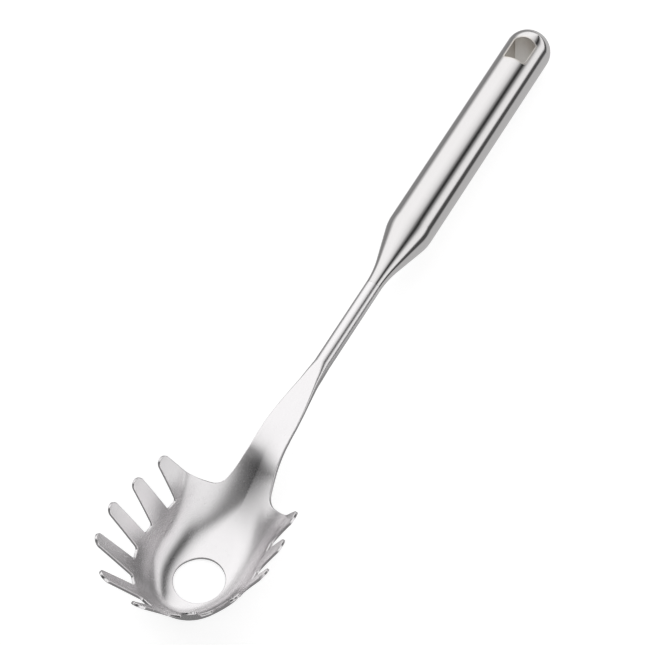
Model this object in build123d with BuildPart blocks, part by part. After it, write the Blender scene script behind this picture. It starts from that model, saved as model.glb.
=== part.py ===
from build123d import *
from math import acos, asin, atan, atan2, cos, degrees, hypot, pi, radians, sin, tan
import os

# A pasta server of stainless steel, in millimetres. It lies on a table at z = 0 with
# its bowl open upwards. The handle runs towards +y, x = 0 is the plane of symmetry,
# and the origin is on the table under the middle of its length.

# Round hollow handle. Its axis drops a little from the neck to the domed end,
# because the server rests on the bowl's floor and on the handle's end.
dome_y = 156.36               # centre of the domed end
handle_radius = 9.5
handle_wall = 0.9
cap_length = 19.2             # straight part of the end cap, up to the weld
tube_length = 86.0
spigot_length = 5.0           # how far the cap and the nose reach into the tube
fit_clearance = 0.1           # all round each spigot, tang and sleeve

# Solid nose: a concave blend out of the neck, a cone, and a round shoulder
nose_half_angle = 14.7        # degrees
nose_blend_radius = 50.0
nose_shoulder_radius = 22.0
nose_bore_radius = 6.0        # lightening bore from the tube's side
nose_bore_depth = 12.0

# Neck rod, drawn down to a tang that is set in the nose
neck_radius = 3.3
neck_die_flat = 0.06          # the flat that the forging dies leave on four sides
neck_length = 43.0
neck_axis_height = 15.5       # at the strap's end of the rod
tang_radius = 2.5
tang_length = 20.0

# Hanging eye: a sleeve with a flat end towards the bowl and a low arch at the other
eye_half_width = 4.6
eye_flat_end = 12.8           # from the dome's centre towards the bowl
eye_arch_start = 2.3
eye_arch_rise = 1.8
eye_corner_radius = 0.9       # at the flat end
sleeve_wall = 0.8
eye_rim_round = 0.3

# Strap, forged thicker than the bowl's sheet, into which it thins out
sheet = 1.2
strap_thickness = 2.1         # where the rolled taper ends
strap_height = 18.4           # its upper face above the table
strap_taper_length = 31.6
strap_half_width = 6.45       # where the strap is widest
strap_end_half_width = 6.15   # where the rolling ends and the sheet starts
rolling = [                   # share of the taper, half width, thickness, corner, upper face
    (0.16, 3.45, 5.4, 1.90, 18.70),
    (0.32, 3.75, 4.1, 1.20, 18.60),
    (0.51, 4.50, 3.0, 0.80, 18.50),
    (0.76, 5.45, 2.35, 0.40, 18.45),
    (1.00, strap_end_half_width, strap_thickness, 0.15, strap_height),
]

# Centreline of the strap and the floor: two tangent arcs from the strap down to the floor
strap_bend_y = 20.9           # length of the upper arc along y
floor_rise_y = 42.75          # length of the lower arc along y
floor_flat_y = 4.75           # from the hole's centre to the end of the lower arc

# Bowl, in plan: the foot line where the wall would meet the floor without a bend
hole_radius = 10.0
foot_half_width = 14.8
side_arc_radius = 29.8
side_arc_ahead = 4.0          # the widest place, from the hole's centre towards the strap
side_narrowing = 4.5          # degrees that the straight sides run together to the strap
front_arc_back = 5.5          # centre of the front arc, from the hole's centre forwards

# Bowl wall, in section: a bend, a steep wall, and tines that lean out a little more
bend_radius = 7.5             # of the upper face, between floor and wall
wall_angle = 64.0             # degrees above the table
tine_angle = 61.5
wall_run = 6.2                # width of the steep wall in plan, outside the foot line
form_height = 48.0

# Tines: one in the middle of the front and the rest in pairs along the rim
side_tines = 5
tine_pitch = 14.7             # measured along the rim at half the tines' length
pitch_offset = 14.2           # of that line outside the foot line
slot_width = 5.1              # at a slot's bottom, without its round corners
slot_corner_radius = 1.0
tine_tip_radius = 2.9
heel_half_width = 10.0        # rear half of the tine beside the strap, up to the shoulder
slot_line_height = 16.5       # the slots end on a sloping plane, this high at the hole
slot_line_slope = 0.112       # its rise forwards
tip_line_height = 33.55       # the centres of the round tips lie on a steeper plane
tip_line_slope = 0.207

# Shoulder between the strap and the first tine
flare_radius = 80.0
flare_angle = 14.5            # degrees
flare_start = 60.8            # from the hole's centre towards the strap
shoulder_radius = 8.0

# Working allowances of the cutting tools
tool_overrun = 6.0
tool_reach = 42.0             # beyond the bowl's half width and its height
front_reach = 50.0            # from the hole's centre, beyond the front tine

# Places that follow from the sizes above
nose_turn = radians(nose_half_angle)
blend_rise = nose_blend_radius * (1 - cos(nose_turn))
shoulder_drop = nose_shoulder_radius * (1 - cos(nose_turn))
cone_rise = handle_radius - neck_radius - blend_rise - shoulder_drop
nose_length = (nose_blend_radius + nose_shoulder_radius) * sin(nose_turn) + cone_rise / tan(nose_turn)
tube_end = cap_length + tube_length
neck_start = tube_end + nose_length
neck_end = neck_start + neck_length
rest_tilt = asin((neck_axis_height - handle_radius) / neck_end)

neck_end_y = dome_y - neck_end * cos(rest_tilt)
strap_flat_y = neck_end_y - strap_taper_length
floor_start_y = strap_flat_y - strap_bend_y - floor_rise_y
hole_y = floor_start_y - floor_flat_y
side_arc_y = hole_y + side_arc_ahead
front_arc_y = hole_y - front_arc_back
side_arc_x = side_arc_radius - foot_half_width
front_arc_radius = side_arc_radius - hypot(side_arc_x, side_arc_y - front_arc_y)
front_turn = atan2(side_arc_x, side_arc_y - front_arc_y)
side_turn = pi / 2 - front_turn + radians(side_narrowing)

wall_rise = wall_run * tan(radians(wall_angle))

# The handle's own directions, from the dome's centre: to the bowl, and up across the handle
to_bowl = Vector(0, -cos(rest_tilt), sin(rest_tilt))
across_axis = Vector(0, sin(rest_tilt), cos(rest_tilt))
dome_centre = Vector(0, dome_y, handle_radius)
handle_axis = Axis(dome_centre, to_bowl)
profile_plane = Plane(origin=dome_centre, x_dir=to_bowl, z_dir=(-1, 0, 0))
eye_plane = Plane(origin=dome_centre, x_dir=(-1, 0, 0), z_dir=across_axis)
neck_end_plane = Plane(origin=dome_centre + to_bowl * neck_end, x_dir=(-1, 0, 0), z_dir=-to_bowl)


def wall_height(offset):
    """Height of the wall's and the tines' upper face at a distance outside the foot line."""
    steep = min(offset, wall_run) * tan(radians(wall_angle))
    lean = max(offset - wall_run, 0) * tan(radians(tine_angle))
    return sheet + steep + lean


class Tine:
    """Where one tine stands: its fall line, its slot line and its tip, on the +x side."""

    def __init__(self, number):
        length = number * tine_pitch
        front_length = (front_arc_radius + pitch_offset) * front_turn
        side_length = (side_arc_radius + pitch_offset) * side_turn
        centre = Vector(0, front_arc_y)
        self.foot_radius = front_arc_radius
        turn = length / (front_arc_radius + pitch_offset)
        if length > front_length:
            centre = Vector(-side_arc_x, side_arc_y)
            self.foot_radius = side_arc_radius
            turn = front_turn + (length - front_length) / (side_arc_radius + pitch_offset)
        self.straight = length > front_length + side_length
        if self.straight:
            turn = front_turn + side_turn
        self.outward = Vector(sin(turn), -cos(turn))
        level = Vector(cos(turn), sin(turn))
        self.foot = centre + self.outward * self.foot_radius
        if self.straight:
            self.foot += level * (length - front_length - side_length)
        self.root_offset = self.offset_where(slot_line_height, slot_line_slope)
        root = self.point_at(self.root_offset)
        self.tip = self.point_at(self.offset_where(tip_line_height, tip_line_slope))
        self.length = (self.tip - root).length
        self.plane = Plane(origin=self.tip, x_dir=level, z_dir=level.cross(self.tip - root))

    def offset_where(self, height, slope):
        """Offset where the fall line crosses a plane that rises forwards from the hole."""
        lean = tan(radians(tine_angle))
        start = wall_height(wall_run) - wall_run * lean
        plane_at_foot = height + slope * (hole_y - self.foot.Y)
        return (plane_at_foot - start) / (lean + slope * self.outward.Y)

    def point_at(self, offset):
        """Point of the upper face on this tine's fall line."""
        place = self.foot + self.outward * offset
        return Vector(place.X, place.Y, wall_height(offset))

    def slot_line(self, across):
        """Where the slots end, measured up the tine from its tip, at a distance across it."""
        place = self.plane.from_local_coords(Vector(across, -self.length))
        rise = self.plane.y_dir
        miss = slot_line_height + slot_line_slope * (hole_y - place.Y) - place.Z
        return -self.length + miss / (rise.Z + slot_line_slope * rise.Y)

    def root_half_width(self):
        """Half of what the slots leave of the pitch, on the line where they end."""
        narrowing = 1
        if not self.straight:
            narrowing = (self.foot_radius + self.root_offset) / (self.foot_radius + pitch_offset)
        return (tine_pitch * narrowing - slot_width) / 2

    def outline(self):
        """The tine laid out flat: a root across the pitch and a finger with a round tip."""
        half_width = self.root_half_width()
        rear_width = heel_half_width if self.straight else half_width
        half_root = rear_width + slot_width
        foot = -self.length - 2 * tool_overrun
        with BuildSketch(mode=Mode.PRIVATE) as outline:
            with BuildLine():
                Polyline(
                    (-half_root, self.slot_line(-half_root)),
                    (half_root, self.slot_line(half_root)),
                    (half_root, foot),
                    (-half_root, foot),
                    close=True,
                )
            make_face()
            with BuildLine(mode=Mode.PRIVATE) as finger:
                Line(
                    (-half_width, self.slot_line(-half_width)),
                    (rear_width, self.slot_line(rear_width)),
                )
                CenterArc((0, 0), tine_tip_radius, 0, 180)
            make_hull(finger.edges())
            above_foot = outline.vertices().filter_by(lambda vertex: vertex.Y > foot + tool_overrun)
            corners = above_foot.filter_by(
                lambda vertex: tine_tip_radius < abs(vertex.X) < half_root - slot_width / 2
            )
            fillet(corners, radius=slot_corner_radius)
        return outline.sketch


def bowl_form(step):
    """Half a solid that fills the bowl and all above the strap, its lower side grown by a step."""
    foot_growth = step * tan(radians(wall_angle / 2))
    kink_drop = step * cos(radians((wall_angle + tine_angle) / 2))
    kink_drop /= cos(radians((wall_angle - tine_angle) / 2))
    strap_face = strap_height - (strap_thickness if step else 0)
    strap_turn = 2 * atan((strap_face - sheet + step) / (strap_flat_y - floor_start_y))
    with BuildPart() as form:
        with BuildSketch(Plane.XY.offset(sheet - step)):
            with BuildLine():
                front = CenterArc(
                    (0, front_arc_y), front_arc_radius + foot_growth, -90, degrees(front_turn)
                )
                side = CenterArc(
                    (-side_arc_x, side_arc_y),
                    side_arc_radius + foot_growth,
                    degrees(front_turn) - 90,
                    degrees(side_turn),
                )
                straight = Line(side @ 1, side @ 1 + (side % 1) * (strap_flat_y - hole_y))
                Polyline(straight @ 1, (0, (straight @ 1).Y), front @ 0)
            make_face()
            mirror(about=Plane.YZ)
        extrude(amount=wall_rise + step - kink_drop, taper=wall_angle - 90)
        rim = faces().sort_by(Axis.Z)[-1]
        extrude(rim, amount=form_height - step - rim.center().Z, taper=tine_angle - 90)
        with BuildSketch(Plane.YZ):
            with BuildLine():
                lower_radius = floor_rise_y / sin(strap_turn)
                upper_radius = strap_bend_y / sin(strap_turn)
                start = (floor_start_y, sheet - step)
                lower = JernArc(start, (1, 0), lower_radius, degrees(strap_turn))
                upper = JernArc(lower @ 1, lower % 1, upper_radius, -degrees(strap_turn))
                level = Line(upper @ 1, (upper @ 1) + Vector(tool_reach, 0))
                Polyline(level @ 1, ((level @ 1).X, -tool_overrun), (floor_start_y, -tool_overrun), start)
            make_face()
        extrude(amount=tool_reach, both=True, mode=Mode.SUBTRACT)
        floor_faces = faces().filter_by(lambda face: face.normal_at().Z < -cos(strap_turn))
        bend = [edge for face in floor_faces for edge in face.edges().filter_by(GeomType.LINE, reverse=True)]
        fillet(bend, radius=bend_radius + step)
        split(bisect_by=Plane.YZ)
    return form.part


tines = [Tine(number) for number in range(side_tines + 1)]
last_tine = tines[-1]

# One side of the blank: the slots end on a sloping plane, and above it only the tines stand
slot_plane = Plane(
    origin=(0, hole_y, slot_line_height - tool_overrun / 2),
    x_dir=(1, 0, 0),
    z_dir=(0, slot_line_slope, 1),
)
with BuildPart() as blank_tool:
    with BuildSketch(slot_plane):
        Rectangle(2 * tool_reach, 2 * (strap_flat_y - hole_y))
    extrude(amount=-tool_reach)
    with BuildSketch():
        with Locations((0, last_tine.tip.Y)):
            strap_room = (2 * last_tine.foot.X, strap_flat_y - last_tine.tip.Y + tool_overrun)
            Rectangle(*strap_room, align=(Align.CENTER, Align.MIN))
    extrude(amount=tool_reach)
    for tine in tines:
        with BuildSketch(tine.plane):
            add(tine.outline())
        extrude(amount=tool_overrun, both=True)

# The plan outline of one side of the strap and its shoulder, as a tall prism
heel_corner = (last_tine.tip.X, last_tine.tip.Y + tine_tip_radius)
with BuildPart() as plan_tool:
    with BuildSketch():
        with BuildLine():
            strap_edge = Line(
                (strap_end_half_width, strap_flat_y), (strap_half_width, hole_y + flare_start)
            )
            flare = JernArc(strap_edge @ 1, (0, -1), flare_radius, flare_angle)
            flare_side = Vector(cos(radians(flare_angle)), sin(radians(flare_angle)))
            shoulder_centre = flare @ 1 + flare_side * shoulder_radius
            to_heel = Vector(*heel_corner) - shoulder_centre
            touch = atan2(to_heel.Y, to_heel.X) - acos(shoulder_radius / to_heel.length)
            shoulder_angle = 180 + degrees(touch) - flare_angle
            shoulder = JernArc(flare @ 1, flare % 1, shoulder_radius, shoulder_angle)
            Polyline(
                shoulder @ 1,
                heel_corner,
                (tool_reach, heel_corner[1]),
                (tool_reach, hole_y - front_reach),
                (0, hole_y - front_reach),
                (0, strap_flat_y),
                (strap_end_half_width, strap_flat_y),
            )
        make_face()
    extrude(amount=form_height)

with BuildPart() as formed_sheet:
    add(bowl_form(sheet))
    add(plan_tool.part, mode=Mode.INTERSECT)
    add(blank_tool.part, mode=Mode.INTERSECT)
    add(bowl_form(0), mode=Mode.SUBTRACT)
    with BuildSketch():
        with Locations((0, hole_y)):
            Circle(hole_radius)
    extrude(amount=strap_height, mode=Mode.SUBTRACT)
    mirror(about=Plane.YZ)

# One forging: the sheet, the rolled taper, the neck rod and the tang
with BuildPart() as server_head:
    add(formed_sheet.part)
    with BuildSketch(neck_end_plane) as rod:
        RectangleRounded(2 * neck_radius, 2 * neck_radius, neck_radius - neck_die_flat / 2)
    for share, half_width, thickness, corner, upper_face in rolling:
        middle = (0, neck_end_y - share * strap_taper_length, upper_face - thickness / 2)
        with BuildSketch(Plane(origin=middle, x_dir=(-1, 0, 0), z_dir=(0, 1, 0))):
            RectangleRounded(2 * half_width, thickness, corner)
    loft()
    extrude(rod.sketch, amount=neck_length)
    with BuildSketch(neck_end_plane.offset(neck_length)):
        Circle(tang_radius)
    extrude(amount=tang_length)

# Solid nose, turned, with the tang's bore from the mouth and a lightening bore behind
with BuildPart() as handle_nose:
    with BuildSketch(profile_plane):
        with BuildLine():
            spigot_radius = handle_radius - handle_wall - fit_clearance
            spigot_end = tube_end - spigot_length
            bore_end = spigot_end + nose_bore_depth
            socket_radius = tang_radius + fit_clearance
            socket_end = neck_start - tang_length - fit_clearance
            shoulder_arc = JernArc((tube_end, handle_radius), (1, 0), nose_shoulder_radius, -nose_half_angle)
            blend_start = (
                neck_start - nose_blend_radius * sin(nose_turn),
                neck_radius + blend_rise,
            )
            cone = Line(shoulder_arc @ 1, blend_start)
            blend = JernArc(cone @ 1, cone % 1, nose_blend_radius, nose_half_angle)
            Polyline(
                blend @ 1,
                (neck_start, socket_radius),
                (socket_end, socket_radius),
                (socket_end, 0),
                (bore_end, 0),
                (bore_end, nose_bore_radius),
                (spigot_end, nose_bore_radius),
                (spigot_end, spigot_radius),
                (tube_end, spigot_radius),
                (tube_end, handle_radius),
            )
        make_face()
    revolve(axis=handle_axis)

with BuildPart() as handle_tube:
    with BuildSketch(profile_plane):
        with Locations((cap_length, handle_radius)):
            Rectangle(tube_length, handle_wall, align=(Align.MIN, Align.MAX))
    revolve(axis=handle_axis)

# The hanging eye's outline: a flat end towards the bowl and a low arch at the other
with BuildSketch(mode=Mode.PRIVATE) as eye_opening:
    with BuildLine():
        arch = ThreePointArc(
            (-eye_half_width, eye_arch_start),
            (0, eye_arch_start - eye_arch_rise),
            (eye_half_width, eye_arch_start),
        )
        Polyline(arch @ 1, (eye_half_width, eye_flat_end), (-eye_half_width, eye_flat_end), arch @ 0)
    make_face()
    fillet(eye_opening.vertices().group_by(Axis.Y)[-1], radius=eye_corner_radius)
sleeve_outline = offset(eye_opening.sketch, amount=sleeve_wall)
cap_cutout = offset(eye_opening.sketch, amount=sleeve_wall + fit_clearance)

# Drawn end cap, stepped in where it enters the tube, with an opening for the eye's sleeve
with BuildPart() as end_cap:
    with BuildSketch(profile_plane):
        with BuildLine():
            inner_radius = handle_radius - handle_wall
            spigot_radius = inner_radius - fit_clearance
            outer_dome = CenterArc((0, 0), handle_radius, 90, 90)
            inner_dome = CenterArc((0, 0), inner_radius, 90, 90)
            Polyline(
                outer_dome @ 0,
                (cap_length, handle_radius),
                (cap_length, spigot_radius),
                (cap_length + spigot_length, spigot_radius),
                (cap_length + spigot_length, spigot_radius - handle_wall),
                (cap_length - handle_wall, spigot_radius - handle_wall),
                (cap_length - 2 * handle_wall, inner_radius),
                inner_dome @ 0,
            )
            Line(outer_dome @ 1, inner_dome @ 1)
        make_face()
    revolve(axis=handle_axis)
    with BuildSketch(eye_plane):
        add(cap_cutout)
    extrude(amount=2 * handle_radius, both=True, mode=Mode.SUBTRACT)

# The sleeve ends flush with the cap on both sides
with BuildPart() as eye_sleeve:
    with BuildSketch(profile_plane):
        with BuildLine():
            outer = CenterArc((0, 0), handle_radius, 90, 90)
            Polyline(outer @ 0, (cap_length, handle_radius), (cap_length, 0), outer @ 1)
        make_face()
    revolve(axis=handle_axis)
    with BuildSketch(eye_plane):
        add(sleeve_outline)
    extrude(amount=2 * handle_radius, both=True, mode=Mode.INTERSECT)
    with BuildSketch(eye_plane):
        add(eye_opening.sketch)
    extrude(amount=2 * handle_radius, both=True, mode=Mode.SUBTRACT)

os.makedirs("parts", exist_ok=True)

server_head.part.label = "server_head"
handle_nose.part.label = "handle_nose"
handle_tube.part.label = "handle_tube"
end_cap.part.label = "end_cap"
eye_sleeve.part.label = "eye_sleeve"

export_step(server_head.part, "parts/server_head.step")
export_step(handle_nose.part, "parts/handle_nose.step")
export_step(handle_tube.part, "parts/handle_tube.step")
export_step(end_cap.part, "parts/end_cap.step")
export_step(eye_sleeve.part, "parts/eye_sleeve.step")
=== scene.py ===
"""A pasta server of stainless steel on a pale table, in metres, in the CAD model's frame."""

from math import asin, atan, atan2, cos, hypot, pi, radians, sin, sqrt, tan

import bpy
import numpy as np
from mathutils import Matrix, Vector
from mathutils.geometry import delaunay_2d_cdt


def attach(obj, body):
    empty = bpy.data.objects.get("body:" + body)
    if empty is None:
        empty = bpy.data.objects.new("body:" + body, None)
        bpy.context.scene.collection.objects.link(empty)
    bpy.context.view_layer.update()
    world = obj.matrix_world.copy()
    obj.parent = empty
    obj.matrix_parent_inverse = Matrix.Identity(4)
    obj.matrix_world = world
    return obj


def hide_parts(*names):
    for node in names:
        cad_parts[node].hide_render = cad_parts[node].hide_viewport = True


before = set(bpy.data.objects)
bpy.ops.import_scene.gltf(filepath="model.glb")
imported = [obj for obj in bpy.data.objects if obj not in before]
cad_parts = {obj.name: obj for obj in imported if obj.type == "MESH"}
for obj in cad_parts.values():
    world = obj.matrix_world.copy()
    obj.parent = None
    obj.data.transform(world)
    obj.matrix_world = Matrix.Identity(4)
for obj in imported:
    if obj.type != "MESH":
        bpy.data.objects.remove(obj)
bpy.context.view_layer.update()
MM = 0.001

# Sizes of the CAD model, in millimetres
DOME_Y = 156.36
HANDLE_RADIUS = 9.5
CAP_LENGTH = 19.2
TUBE_LENGTH = 86.0
NOSE_HALF_ANGLE = radians(14.7)
NOSE_BLEND = 50.0
NOSE_SHOULDER = 22.0
NECK_RADIUS = 3.3
NECK_LENGTH = 43.0
NECK_AXIS_HEIGHT = 15.5
EYE_HALF_WIDTH = 4.6
EYE_FLAT_END = 12.8
EYE_ARCH_START = 2.3
EYE_ARCH_RISE = 1.8
EYE_CORNER = 0.9
SLEEVE_WALL = 0.8
SHEET = 1.2
STRAP_THICKNESS = 2.1
STRAP_HEIGHT = 18.4
STRAP_TAPER = 31.6
STRAP_BEND_Y = 20.9
FLOOR_RISE_Y = 42.75
FLOOR_FLAT_Y = 4.75
STRAP_HALF_WIDTH = 6.45
STRAP_END_HALF_WIDTH = 6.15
ROLLING = np.array([  # share of the taper, half width, thickness, corner, upper face
    (0.00, 3.30, 6.60, 3.27, 18.80),
    (0.16, 3.45, 5.40, 1.90, 18.70),
    (0.32, 3.75, 4.10, 1.20, 18.60),
    (0.51, 4.50, 3.00, 0.80, 18.50),
    (0.76, 5.45, 2.35, 0.50, 18.45),
    (1.00, 6.15, 2.10, 0.30, 18.40),
])
HOLE_RADIUS = 10.0
FOOT_HALF_WIDTH = 14.8
SIDE_ARC = 29.8
SIDE_ARC_AHEAD = 4.0
SIDE_NARROWING = radians(4.5)
FRONT_ARC_BACK = 5.5
WALL_SLOPE = tan(radians(64.0))
TINE_SLOPE = tan(radians(61.5))
WALL_RUN = 6.2
SIDE_TINES = 5
TINE_PITCH = 14.7
PITCH_OFFSET = 14.2
SLOT_WIDTH = 5.1
SLOT_CORNER = 1.0
TIP_RADIUS = 2.9
SLOT_LINE = (16.5, 0.112)
TIP_LINE = (33.55, 0.207)
FLARE_RADIUS = 80.0
FLARE_ANGLE = radians(14.5)
FLARE_START = 60.8
SHOULDER_RADIUS = 8.0

# Places that follow from them, as in the CAD model
NOSE_LENGTH = (NOSE_BLEND + NOSE_SHOULDER) * sin(NOSE_HALF_ANGLE) + (
    HANDLE_RADIUS - NECK_RADIUS - (NOSE_BLEND + NOSE_SHOULDER) * (1 - cos(NOSE_HALF_ANGLE))
) / tan(NOSE_HALF_ANGLE)
TUBE_END = CAP_LENGTH + TUBE_LENGTH
NECK_START = TUBE_END + NOSE_LENGTH
NECK_END = NECK_START + NECK_LENGTH
REST_TILT = asin((NECK_AXIS_HEIGHT - HANDLE_RADIUS) / NECK_END)
NECK_END_Y = DOME_Y - NECK_END * cos(REST_TILT)
STRAP_Y = NECK_END_Y - STRAP_TAPER
FLOOR_START = STRAP_Y - STRAP_BEND_Y - FLOOR_RISE_Y
HOLE_Y = FLOOR_START - FLOOR_FLAT_Y
SIDE_ARC_Y = HOLE_Y + SIDE_ARC_AHEAD
FRONT_ARC_Y = HOLE_Y - FRONT_ARC_BACK
SIDE_ARC_X = SIDE_ARC - FOOT_HALF_WIDTH
FRONT_ARC = SIDE_ARC - hypot(SIDE_ARC_X, SIDE_ARC_Y - FRONT_ARC_Y)
FRONT_TURN = atan2(SIDE_ARC_X, SIDE_ARC_Y - FRONT_ARC_Y)
SIDE_TURN = pi / 2 - FRONT_TURN + SIDE_NARROWING
STRAP_TURN = 2 * atan((STRAP_HEIGHT - SHEET) / (STRAP_Y - FLOOR_START))

# Forms that only the render has: round edges, and softer bends than the solid's
EDGE_ROUND = 0.3
EYE_ROUND = 0.35
BEND_RADIUS = 13.0            # floor to wall, beside and before the hole
REAR_BEND_RADIUS = 26.0       # floor to strap
REAR_BEND_Y = (8.0, 44.0)     # where one goes over into the other, behind the hole's centre
STRAP_FLAT_Y = (18.0, 1.0)    # where the bend dies out, before the strap's end
KINK_SOFTNESS = 2.6           # between the steep wall and the tines
SIDE_STEEPER = 1.6            # the wall's run that the sides lose
STEEPER_Y = (-16.0, -2.0)     # where they start to lose it, from the hole's centre
NECK_HIDDEN = 0.5             # how far the rod runs on inside the nose, and how much
NECK_HIDDEN_STEP = 0.15       # thinner it is there
ROD_FLAT = 0.01               # half the flat that keeps the rod's section in four parts

# Spacing of points, in millimetres, and how many go round a curve
SHEET_SPACING = 0.62
RIM_SPACING = 0.42
LINE_SPACING = 0.6
CAP_SPACING = 0.5
FLANK_SPACING = 0.5
RIM_STEPS = 5
CORNER_STEPS = 7
ARCH_STEPS = 21
EYE_CORNER_STEPS = 9
TIP_STEPS = 14
FLARE_STEPS = 32
SHOULDER_STEPS = 30
TAPER_RINGS = 60
ROD_RINGS = 16
ROUND_STEPS = 160
DOME_ROWS = 40
TUBE_ROWS = 44
NOSE_ROWS = (14, 12, 24)      # round shoulder, cone, blend
SLEEVE_RIM_ROWS = 6
SLEEVE_WALL_ROWS = 14
DOME_END = 0.001              # angle that the dome's first row keeps from its pole
POLE_RADIUS = 0.05            # a row within it is closed with one face
FALL_ROUNDS = 12              # rounds in which a tine's edge is sent to the surface
SLOPE_STEP = 0.01             # half the step over which a slope is taken
HEEL_GAP = 0.02               # the tip's arc stops this far before the heel's line
LATTICE_MARGIN = 0.55         # of the spacing, between the lattice and an edge
LOOP_BATCH = 40               # edge points measured at a time
SAME = 1e-6                   # places nearer than this are one place


def centreline(y):
    """Height of the upper face at x = 0: level strap, two tangent arcs, level floor.

    Each arc is R - sqrt(R^2 - d^2), with d the way along y from its level end.
    """
    upper = STRAP_BEND_Y / sin(STRAP_TURN)
    lower = FLOOR_RISE_Y / sin(STRAP_TURN)
    middle = STRAP_Y - STRAP_BEND_Y
    below_strap = np.clip(STRAP_Y - y, 0, STRAP_BEND_Y)
    past_floor = np.clip(y - FLOOR_START, 0, FLOOR_RISE_Y)
    on_upper = STRAP_HEIGHT - upper + np.sqrt(upper**2 - below_strap**2)
    on_lower = SHEET + lower - np.sqrt(lower**2 - past_floor**2)
    return np.where(y > middle, on_upper, on_lower)


def sheet_thickness(y):
    """Thickness: thin in the bowl, and thicker with the square of the way up the strap."""
    share = np.clip((y - FLOOR_START) / (STRAP_Y - FLOOR_START), 0, 1)
    return (SHEET + (STRAP_THICKNESS - SHEET) * share**2)[:, None]


def foot_offset(x, y):
    """Distance outside the foot line in plan: a front arc, two side arcs, converging sides."""
    x = np.abs(x)
    to_front = np.hypot(x, y - FRONT_ARC_Y) - FRONT_ARC
    to_side = np.hypot(x + SIDE_ARC_X, y - SIDE_ARC_Y) - SIDE_ARC
    across = (x + SIDE_ARC_X) * cos(SIDE_NARROWING) + (y - SIDE_ARC_Y) * sin(SIDE_NARROWING)
    turn = np.arctan2(x + SIDE_ARC_X, SIDE_ARC_Y - y)
    in_front = np.arctan2(x, FRONT_ARC_Y - y) < FRONT_TURN
    offset = np.where(turn > pi / 2 + SIDE_NARROWING, across - SIDE_ARC, to_side)
    return np.where(in_front, to_front, offset)


def eased(value, start, end):
    """From 0 at start to 1 at end, along the curve 3t^2 - 2t^3."""
    share = np.clip((value - start) / (end - start), 0, 1)
    return share**2 * (3 - 2 * share)


def surface_height(x, y):
    """Upper face: floor or strap, a round bend, the steep wall, and the leaning tines.

    With t the distance outside the line where wall and floor would meet, the bend is the
    arc R - sqrt(R^2 - (t + a)^2) for -a < t < b, with a = R tan(angle / 2), and a straight
    wall follows. The bend dies out towards the strap's end, which is flat.
    """
    base = centreline(y)
    offset = foot_offset(x, y)
    past_kink = offset - WALL_RUN
    steeper = SIDE_STEEPER * eased(y - HOLE_Y, *STEEPER_Y)
    slope = WALL_SLOPE * WALL_RUN / (WALL_RUN - steeper)
    lean = KINK_SOFTNESS * np.logaddexp(0, past_kink / KINK_SOFTNESS)
    wall = SHEET + WALL_SLOPE * WALL_RUN + slope * past_kink - (slope - TINE_SLOPE) * lean
    out = (wall - base) / slope
    radius = BEND_RADIUS + (REAR_BEND_RADIUS - BEND_RADIUS) * eased(y - HOLE_Y, *REAR_BEND_Y)
    angle = np.arctan(slope)
    before = radius * np.tan(angle / 2)
    after = before * np.cos(angle)
    arc = radius - np.sqrt(radius**2 - np.clip(out + before, 0, before + after) ** 2)
    flat_end = 1 - eased(y - STRAP_Y, -STRAP_FLAT_Y[0], -STRAP_FLAT_Y[1])
    return base + np.where(out > after, slope * out, arc) * flat_end


def surface_points(plan):
    """Points of the upper face over points of the plan."""
    return np.column_stack([plan, surface_height(plan[:, 0], plan[:, 1])])


def surface_normals(plan):
    """Unit normals of the upper face: (-dz/dx, -dz/dy, 1), by central differences."""
    step = SLOPE_STEP
    x, y = plan[:, 0], plan[:, 1]
    slope_x = (surface_height(x + step, y) - surface_height(x - step, y)) / (2 * step)
    slope_y = (surface_height(x, y + step) - surface_height(x, y - step)) / (2 * step)
    normals = np.column_stack([-slope_x, -slope_y, np.ones(len(x))])
    return normals / np.linalg.norm(normals, axis=1)[:, None]


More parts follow.
